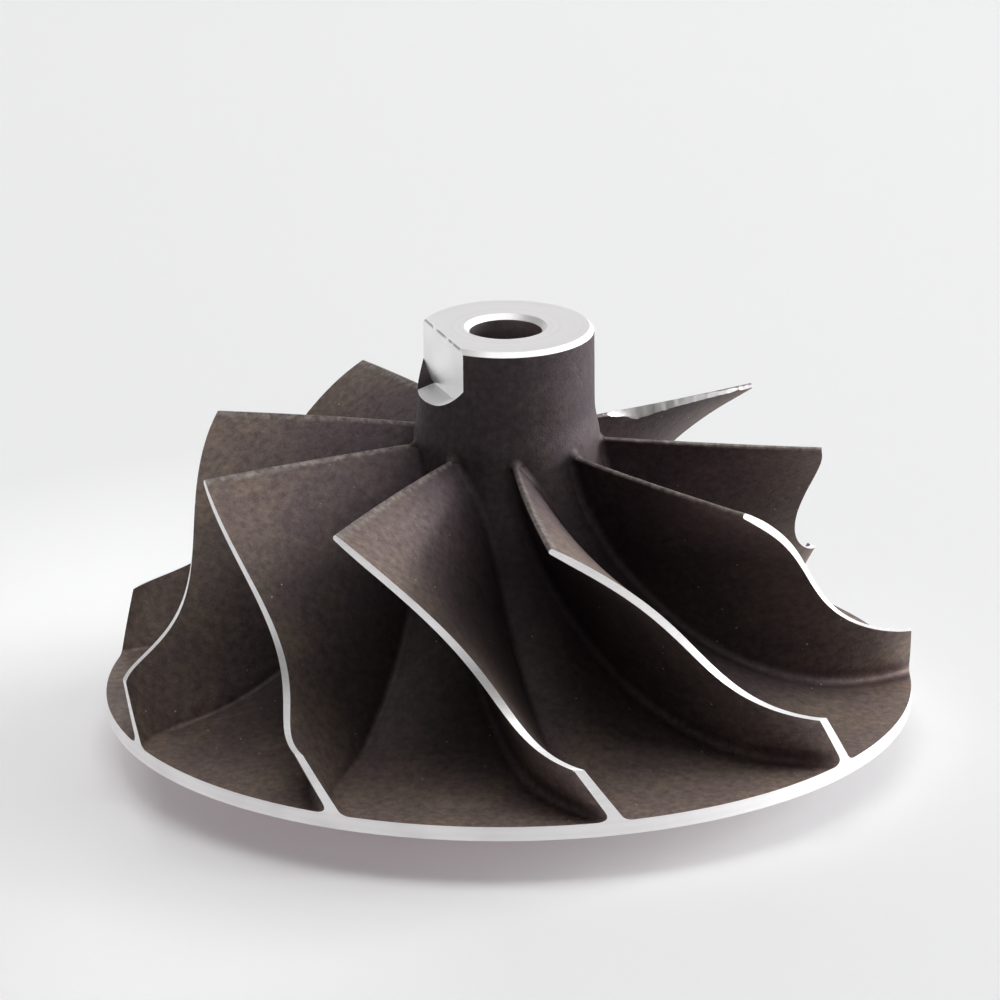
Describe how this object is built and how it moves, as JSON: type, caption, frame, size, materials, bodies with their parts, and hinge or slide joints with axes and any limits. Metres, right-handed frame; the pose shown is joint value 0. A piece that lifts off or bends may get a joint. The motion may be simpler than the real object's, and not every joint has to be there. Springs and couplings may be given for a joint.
{
  "type": "compressor wheel",
  "caption": "Cast aluminium centrifugal compressor wheel with full backswept blades, a bored nose and a turned rim.",
  "frame": {"origin": "centre of the rear boss face, on the wheel's axis", "axes": "+Z along the wheel's axis, from the rear boss face to the nose; +X and +Y across the wheel, with no feature that fixes them"},
  "size_m": [0.078, 0.078, 0.0423],
  "materials": {
    "cast_aluminium": "as-cast grey with fine grain, bright turned edges"
  },
  "bodies": {
    "root": {"compressor_wheel": "cast_aluminium"}
  },
  "joints": []
}
